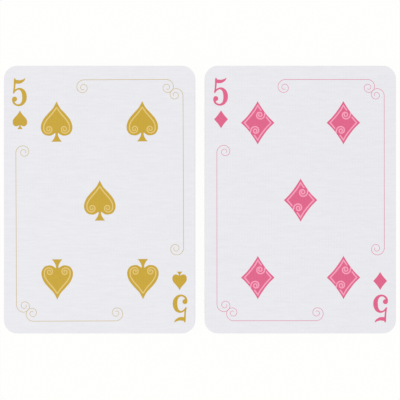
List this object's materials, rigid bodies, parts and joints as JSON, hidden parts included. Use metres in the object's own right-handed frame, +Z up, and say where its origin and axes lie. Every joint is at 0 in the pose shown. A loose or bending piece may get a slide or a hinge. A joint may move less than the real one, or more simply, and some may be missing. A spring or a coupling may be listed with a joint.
{
  "type": "playing card deck",
  "caption": "Deck of poker-size playing cards in two squared face-up packets, fives in gold and pink on top.",
  "frame": {"origin": "on the table, under the middle of the pair of packets", "axes": "+X from the left packet to the right one, +Y to the top edge of the cards, +Z up out of the faces"},
  "size_m": [0.1302, 0.089, 0.0082],
  "materials": {
    "gold_printed_card": "white linen-finish card stock printed in gold ink, satin varnish",
    "pink_printed_card": "white linen-finish card stock printed in pink ink, satin varnish",
    "joker_card": "white linen-finish card stock printed in gold and pink ink, satin varnish"
  },
  "bodies": {
    "first_joker": {"first_joker": "joker_card"},
    "ace_of_hearts": {"ace_of_hearts": "pink_printed_card"},
    "two_of_hearts": {"two_of_hearts": "pink_printed_card"},
    "three_of_hearts": {"three_of_hearts": "pink_printed_card"},
    "four_of_hearts": {"four_of_hearts": "pink_printed_card"},
    "five_of_hearts": {"five_of_hearts": "pink_printed_card"},
    "six_of_hearts": {"six_of_hearts": "pink_printed_card"},
    "seven_of_hearts": {"seven_of_hearts": "pink_printed_card"},
    "eight_of_hearts": {"eight_of_hearts": "pink_printed_card"},
    "nine_of_hearts": {"nine_of_hearts": "pink_printed_card"},
    "ten_of_hearts": {"ten_of_hearts": "pink_printed_card"},
    "jack_of_hearts": {"jack_of_hearts": "pink_printed_card"},
    "queen_of_hearts": {"queen_of_hearts": "pink_printed_card"},
    "king_of_hearts": {"king_of_hearts": "pink_printed_card"},
    "six_of_spades": {"six_of_spades": "gold_printed_card"},
    "seven_of_spades": {"seven_of_spades": "gold_printed_card"},
    "eight_of_spades": {"eight_of_spades": "gold_printed_card"},
    "nine_of_spades": {"nine_of_spades": "gold_printed_card"},
    "ten_of_spades": {"ten_of_spades": "gold_printed_card"},
    "jack_of_spades": {"jack_of_spades": "gold_printed_card"},
    "queen_of_spades": {"queen_of_spades": "gold_printed_card"},
    "king_of_spades": {"king_of_spades": "gold_printed_card"},
    "ace_of_spades": {"ace_of_spades": "gold_printed_card"},
    "two_of_spades": {"two_of_spades": "gold_printed_card"},
    "three_of_spades": {"three_of_spades": "gold_printed_card"},
    "four_of_spades": {"four_of_spades": "gold_printed_card"},
    "five_of_spades": {"five_of_spades": "gold_printed_card"},
    "second_joker": {"second_joker": "joker_card"},
    "ace_of_clubs": {"ace_of_clubs": "gold_printed_card"},
    "two_of_clubs": {"two_of_clubs": "gold_printed_card"},
    "three_of_clubs": {"three_of_clubs": "gold_printed_card"},
    "four_of_clubs": {"four_of_clubs": "gold_printed_card"},
    "five_of_clubs": {"five_of_clubs": "gold_printed_card"},
    "six_of_clubs": {"six_of_clubs": "gold_printed_card"},
    "seven_of_clubs": {"seven_of_clubs": "gold_printed_card"},
    "eight_of_clubs": {"eight_of_clubs": "gold_printed_card"},
    "nine_of_clubs": {"nine_of_clubs": "gold_printed_card"},
    "ten_of_clubs": {"ten_of_clubs": "gold_printed_card"},
    "jack_of_clubs": {"jack_of_clubs": "gold_printed_card"},
    "queen_of_clubs": {"queen_of_clubs": "gold_printed_card"},
    "king_of_clubs": {"king_of_clubs": "gold_printed_card"},
    "six_of_diamonds": {"six_of_diamonds": "pink_printed_card"},
    "seven_of_diamonds": {"seven_of_diamonds": "pink_printed_card"},
    "eight_of_diamonds": {"eight_of_diamonds": "pink_printed_card"},
    "nine_of_diamonds": {"nine_of_diamonds": "pink_printed_card"},
    "ten_of_diamonds": {"ten_of_diamonds": "pink_printed_card"},
    "jack_of_diamonds": {"jack_of_diamonds": "pink_printed_card"},
    "queen_of_diamonds": {"queen_of_diamonds": "pink_printed_card"},
    "king_of_diamonds": {"king_of_diamonds": "pink_printed_card"},
    "ace_of_diamonds": {"ace_of_diamonds": "pink_printed_card"},
    "two_of_diamonds": {"two_of_diamonds": "pink_printed_card"},
    "three_of_diamonds": {"three_of_diamonds": "pink_printed_card"},
    "four_of_diamonds": {"four_of_diamonds": "pink_printed_card"},
    "five_of_diamonds": {"five_of_diamonds": "pink_printed_card"}
  },
  "joints": [
    {"name": "packets_apart", "type": "slide", "parent": "first_joker", "child": "second_joker", "axis": [1, 0, 0], "range_m": [0, 0.06]},
    {"name": "left_fan", "type": "hinge", "parent": "first_joker", "child": "four_of_spades", "pos_m": [-0.0106, 0.03545, 0.00762], "axis": [0, 0, -1], "range_deg": [0, 90]},
    {"name": "left_fan_card_25", "type": "hinge", "parent": "first_joker", "child": "three_of_spades", "pos_m": [-0.0106, 0.03545, 0.00732], "axis": [0, 0, -1], "range_deg": [0, 86.4]},
    {"name": "left_fan_card_24", "type": "hinge", "parent": "first_joker", "child": "two_of_spades", "pos_m": [-0.0106, 0.03545, 0.00702], "axis": [0, 0, -1], "range_deg": [0, 82.8]},
    {"name": "left_fan_card_23", "type": "hinge", "parent": "first_joker", "child": "ace_of_spades", "pos_m": [-0.0106, 0.03545, 0.00671], "axis": [0, 0, -1], "range_deg": [0, 79.2]},
    {"name": "left_fan_card_22", "type": "hinge", "parent": "first_joker", "child": "king_of_spades", "pos_m": [-0.0106, 0.03545, 0.00641], "axis": [0, 0, -1], "range_deg": [0, 75.6]},
    {"name": "left_fan_card_21", "type": "hinge", "parent": "first_joker", "child": "queen_of_spades", "pos_m": [-0.0106, 0.03545, 0.0061], "axis": [0, 0, -1], "range_deg": [0, 72]},
    {"name": "left_fan_card_20", "type": "hinge", "parent": "first_joker", "child": "jack_of_spades", "pos_m": [-0.0106, 0.03545, 0.00579], "axis": [0, 0, -1], "range_deg": [0, 68.4]},
    {"name": "left_fan_card_19", "type": "hinge", "parent": "first_joker", "child": "ten_of_spades", "pos_m": [-0.0106, 0.03545, 0.00549], "axis": [0, 0, -1], "range_deg": [0, 64.8]},
    {"name": "left_fan_card_18", "type": "hinge", "parent": "first_joker", "child": "nine_of_spades", "pos_m": [-0.0106, 0.03545, 0.00519], "axis": [0, 0, -1], "range_deg": [0, 61.2]},
    {"name": "left_fan_card_17", "type": "hinge", "parent": "first_joker", "child": "eight_of_spades", "pos_m": [-0.0106, 0.03545, 0.00488], "axis": [0, 0, -1], "range_deg": [0, 57.6]},
    {"name": "left_fan_card_16", "type": "hinge", "parent": "first_joker", "child": "seven_of_spades", "pos_m": [-0.0106, 0.03545, 0.00458], "axis": [0, 0, -1], "range_deg": [0, 54]},
    {"name": "left_fan_card_15", "type": "hinge", "parent": "first_joker", "child": "six_of_spades", "pos_m": [-0.0106, 0.03545, 0.00427], "axis": [0, 0, -1], "range_deg": [0, 50.4]},
    {"name": "left_fan_card_14", "type": "hinge", "parent": "first_joker", "child": "king_of_hearts", "pos_m": [-0.0106, 0.03545, 0.00396], "axis": [0, 0, -1], "range_deg": [0, 46.8]},
    {"name": "left_fan_card_13", "type": "hinge", "parent": "first_joker", "child": "queen_of_hearts", "pos_m": [-0.0106, 0.03545, 0.00366], "axis": [0, 0, -1], "range_deg": [0, 43.2]},
    {"name": "left_fan_card_12", "type": "hinge", "parent": "first_joker", "child": "jack_of_hearts", "pos_m": [-0.0106, 0.03545, 0.00335], "axis": [0, 0, -1], "range_deg": [0, 39.6]},
    {"name": "left_fan_card_11", "type": "hinge", "parent": "first_joker", "child": "ten_of_hearts", "pos_m": [-0.0106, 0.03545, 0.00305], "axis": [0, 0, -1], "range_deg": [0, 36]},
    {"name": "left_fan_card_10", "type": "hinge", "parent": "first_joker", "child": "nine_of_hearts", "pos_m": [-0.0106, 0.03545, 0.00275], "axis": [0, 0, -1], "range_deg": [0, 32.4]},
    {"name": "left_fan_card_9", "type": "hinge", "parent": "first_joker", "child": "eight_of_hearts", "pos_m": [-0.0106, 0.03545, 0.00244], "axis": [0, 0, -1], "range_deg": [0, 28.8]},
    {"name": "left_fan_card_8", "type": "hinge", "parent": "first_joker", "child": "seven_of_hearts", "pos_m": [-0.0106, 0.03545, 0.00214], "axis": [0, 0, -1], "range_deg": [0, 25.2]},
    {"name": "left_fan_card_7", "type": "hinge", "parent": "first_joker", "child": "six_of_hearts", "pos_m": [-0.0106, 0.03545, 0.00183], "axis": [0, 0, -1], "range_deg": [0, 21.6]},
    {"name": "left_fan_card_6", "type": "hinge", "parent": "first_joker", "child": "five_of_hearts", "pos_m": [-0.0106, 0.03545, 0.00153], "axis": [0, 0, -1], "range_deg": [0, 18]},
    {"name": "left_fan_card_5", "type": "hinge", "parent": "first_joker", "child": "four_of_hearts", "pos_m": [-0.0106, 0.03545, 0.00122], "axis": [0, 0, -1], "range_deg": [0, 14.4]},
    {"name": "left_fan_card_4", "type": "hinge", "parent": "first_joker", "child": "three_of_hearts", "pos_m": [-0.0106, 0.03545, 0.00092], "axis": [0, 0, -1], "range_deg": [0, 10.8]},
    {"name": "left_fan_card_3", "type": "hinge", "parent": "first_joker", "child": "two_of_hearts", "pos_m": [-0.0106, 0.03545, 0.00061], "axis": [0, 0, -1], "range_deg": [0, 7.2]},
    {"name": "left_fan_card_2", "type": "hinge", "parent": "first_joker", "child": "ace_of_hearts", "pos_m": [-0.0106, 0.03545, 0.0003], "axis": [0, 0, -1], "range_deg": [0, 3.6]},
    {"name": "right_fan", "type": "hinge", "parent": "second_joker", "child": "four_of_diamonds", "pos_m": [0.0106, -0.03545, 0.00762], "axis": [0, 0, -1], "range_deg": [0, 90]},
    {"name": "right_fan_card_25", "type": "hinge", "parent": "second_joker", "child": "three_of_diamonds", "pos_m": [0.0106, -0.03545, 0.00732], "axis": [0, 0, -1], "range_deg": [0, 86.4]},
    {"name": "right_fan_card_24", "type": "hinge", "parent": "second_joker", "child": "two_of_diamonds", "pos_m": [0.0106, -0.03545, 0.00702], "axis": [0, 0, -1], "range_deg": [0, 82.8]},
    {"name": "right_fan_card_23", "type": "hinge", "parent": "second_joker", "child": "ace_of_diamonds", "pos_m": [0.0106, -0.03545, 0.00671], "axis": [0, 0, -1], "range_deg": [0, 79.2]},
    {"name": "right_fan_card_22", "type": "hinge", "parent": "second_joker", "child": "king_of_diamonds", "pos_m": [0.0106, -0.03545, 0.00641], "axis": [0, 0, -1], "range_deg": [0, 75.6]},
    {"name": "right_fan_card_21", "type": "hinge", "parent": "second_joker", "child": "queen_of_diamonds", "pos_m": [0.0106, -0.03545, 0.0061], "axis": [0, 0, -1], "range_deg": [0, 72]},
    {"name": "right_fan_card_20", "type": "hinge", "parent": "second_joker", "child": "jack_of_diamonds", "pos_m": [0.0106, -0.03545, 0.00579], "axis": [0, 0, -1], "range_deg": [0, 68.4]},
    {"name": "right_fan_card_19", "type": "hinge", "parent": "second_joker", "child": "ten_of_diamonds", "pos_m": [0.0106, -0.03545, 0.00549], "axis": [0, 0, -1], "range_deg": [0, 64.8]},
    {"name": "right_fan_card_18", "type": "hinge", "parent": "second_joker", "child": "nine_of_diamonds", "pos_m": [0.0106, -0.03545, 0.00519], "axis": [0, 0, -1], "range_deg": [0, 61.2]},
    {"name": "right_fan_card_17", "type": "hinge", "parent": "second_joker", "child": "eight_of_diamonds", "pos_m": [0.0106, -0.03545, 0.00488], "axis": [0, 0, -1], "range_deg": [0, 57.6]},
    {"name": "right_fan_card_16", "type": "hinge", "parent": "second_joker", "child": "seven_of_diamonds", "pos_m": [0.0106, -0.03545, 0.00458], "axis": [0, 0, -1], "range_deg": [0, 54]},
    {"name": "right_fan_card_15", "type": "hinge", "parent": "second_joker", "child": "six_of_diamonds", "pos_m": [0.0106, -0.03545, 0.00427], "axis": [0, 0, -1], "range_deg": [0, 50.4]},
    {"name": "right_fan_card_14", "type": "hinge", "parent": "second_joker", "child": "king_of_clubs", "pos_m": [0.0106, -0.03545, 0.00396], "axis": [0, 0, -1], "range_deg": [0, 46.8]},
    {"name": "right_fan_card_13", "type": "hinge", "parent": "second_joker", "child": "queen_of_clubs", "pos_m": [0.0106, -0.03545, 0.00366], "axis": [0, 0, -1], "range_deg": [0, 43.2]},
    {"name": "right_fan_card_12", "type": "hinge", "parent": "second_joker", "child": "jack_of_clubs", "pos_m": [0.0106, -0.03545, 0.00335], "axis": [0, 0, -1], "range_deg": [0, 39.6]},
    {"name": "right_fan_card_11", "type": "hinge", "parent": "second_joker", "child": "ten_of_clubs", "pos_m": [0.0106, -0.03545, 0.00305], "axis": [0, 0, -1], "range_deg": [0, 36]},
    {"name": "right_fan_card_10", "type": "hinge", "parent": "second_joker", "child": "nine_of_clubs", "pos_m": [0.0106, -0.03545, 0.00275], "axis": [0, 0, -1], "range_deg": [0, 32.4]},
    {"name": "right_fan_card_9", "type": "hinge", "parent": "second_joker", "child": "eight_of_clubs", "pos_m": [0.0106, -0.03545, 0.00244], "axis": [0, 0, -1], "range_deg": [0, 28.8]},
    {"name": "right_fan_card_8", "type": "hinge", "parent": "second_joker", "child": "seven_of_clubs", "pos_m": [0.0106, -0.03545, 0.00214], "axis": [0, 0, -1], "range_deg": [0, 25.2]},
    {"name": "right_fan_card_7", "type": "hinge", "parent": "second_joker", "child": "six_of_clubs", "pos_m": [0.0106, -0.03545, 0.00183], "axis": [0, 0, -1], "range_deg": [0, 21.6]},
    {"name": "right_fan_card_6", "type": "hinge", "parent": "second_joker", "child": "five_of_clubs", "pos_m": [0.0106, -0.03545, 0.00153], "axis": [0, 0, -1], "range_deg": [0, 18]},
    {"name": "right_fan_card_5", "type": "hinge", "parent": "second_joker", "child": "four_of_clubs", "pos_m": [0.0106, -0.03545, 0.00122], "axis": [0, 0, -1], "range_deg": [0, 14.4]},
    {"name": "right_fan_card_4", "type": "hinge", "parent": "second_joker", "child": "three_of_clubs", "pos_m": [0.0106, -0.03545, 0.00092], "axis": [0, 0, -1], "range_deg": [0, 10.8]},
    {"name": "right_fan_card_3", "type": "hinge", "parent": "second_joker", "child": "two_of_clubs", "pos_m": [0.0106, -0.03545, 0.00061], "axis": [0, 0, -1], "range_deg": [0, 7.2]},
    {"name": "right_fan_card_2", "type": "hinge", "parent": "second_joker", "child": "ace_of_clubs", "pos_m": [0.0106, -0.03545, 0.0003], "axis": [0, 0, -1], "range_deg": [0, 3.6]},
    {"name": "turn_over", "type": "hinge", "parent": "four_of_spades", "child": "five_of_spades", "pos_m": [-0.0661, 0, 0.00411], "axis": [0, -1, 0], "range_deg": [0, 180]},
    {"name": "deal", "type": "slide", "parent": "four_of_diamonds", "child": "five_of_diamonds", "axis": [1, 0, 0], "range_m": [0, 0.067]}
  ],
  "couplings": [
    {"joint": "left_fan_card_25", "follows": "left_fan", "ratio": 0.96},
    {"joint": "left_fan_card_24", "follows": "left_fan", "ratio": 0.92},
    {"joint": "left_fan_card_23", "follows": "left_fan", "ratio": 0.88},
    {"joint": "left_fan_card_22", "follows": "left_fan", "ratio": 0.84},
    {"joint": "left_fan_card_21", "follows": "left_fan", "ratio": 0.8},
    {"joint": "left_fan_card_20", "follows": "left_fan", "ratio": 0.76},
    {"joint": "left_fan_card_19", "follows": "left_fan", "ratio": 0.72},
    {"joint": "left_fan_card_18", "follows": "left_fan", "ratio": 0.68},
    {"joint": "left_fan_card_17", "follows": "left_fan", "ratio": 0.64},
    {"joint": "left_fan_card_16", "follows": "left_fan", "ratio": 0.6},
    {"joint": "left_fan_card_15", "follows": "left_fan", "ratio": 0.56},
    {"joint": "left_fan_card_14", "follows": "left_fan", "ratio": 0.52},
    {"joint": "left_fan_card_13", "follows": "left_fan", "ratio": 0.48},
    {"joint": "left_fan_card_12", "follows": "left_fan", "ratio": 0.44},
    {"joint": "left_fan_card_11", "follows": "left_fan", "ratio": 0.4},
    {"joint": "left_fan_card_10", "follows": "left_fan", "ratio": 0.36},
    {"joint": "left_fan_card_9", "follows": "left_fan", "ratio": 0.32},
    {"joint": "left_fan_card_8", "follows": "left_fan", "ratio": 0.28},
    {"joint": "left_fan_card_7", "follows": "left_fan", "ratio": 0.24},
    {"joint": "left_fan_card_6", "follows": "left_fan", "ratio": 0.2},
    {"joint": "left_fan_card_5", "follows": "left_fan", "ratio": 0.16},
    {"joint": "left_fan_card_4", "follows": "left_fan", "ratio": 0.12},
    {"joint": "left_fan_card_3", "follows": "left_fan", "ratio": 0.08},
    {"joint": "left_fan_card_2", "follows": "left_fan", "ratio": 0.04},
    {"joint": "right_fan_card_25", "follows": "right_fan", "ratio": 0.96},
    {"joint": "right_fan_card_24", "follows": "right_fan", "ratio": 0.92},
    {"joint": "right_fan_card_23", "follows": "right_fan", "ratio": 0.88},
    {"joint": "right_fan_card_22", "follows": "right_fan", "ratio": 0.84},
    {"joint": "right_fan_card_21", "follows": "right_fan", "ratio": 0.8},
    {"joint": "right_fan_card_20", "follows": "right_fan", "ratio": 0.76},
    {"joint": "right_fan_card_19", "follows": "right_fan", "ratio": 0.72},
    {"joint": "right_fan_card_18", "follows": "right_fan", "ratio": 0.68},
    {"joint": "right_fan_card_17", "follows": "right_fan", "ratio": 0.64},
    {"joint": "right_fan_card_16", "follows": "right_fan", "ratio": 0.6},
    {"joint": "right_fan_card_15", "follows": "right_fan", "ratio": 0.56},
    {"joint": "right_fan_card_14", "follows": "right_fan", "ratio": 0.52},
    {"joint": "right_fan_card_13", "follows": "right_fan", "ratio": 0.48},
    {"joint": "right_fan_card_12", "follows": "right_fan", "ratio": 0.44},
    {"joint": "right_fan_card_11", "follows": "right_fan", "ratio": 0.4},
    {"joint": "right_fan_card_10", "follows": "right_fan", "ratio": 0.36},
    {"joint": "right_fan_card_9", "follows": "right_fan", "ratio": 0.32},
    {"joint": "right_fan_card_8", "follows": "right_fan", "ratio": 0.28},
    {"joint": "right_fan_card_7", "follows": "right_fan", "ratio": 0.24},
    {"joint": "right_fan_card_6", "follows": "right_fan", "ratio": 0.2},
    {"joint": "right_fan_card_5", "follows": "right_fan", "ratio": 0.16},
    {"joint": "right_fan_card_4", "follows": "right_fan", "ratio": 0.12},
    {"joint": "right_fan_card_3", "follows": "right_fan", "ratio": 0.08},
    {"joint": "right_fan_card_2", "follows": "right_fan", "ratio": 0.04}
  ]
}
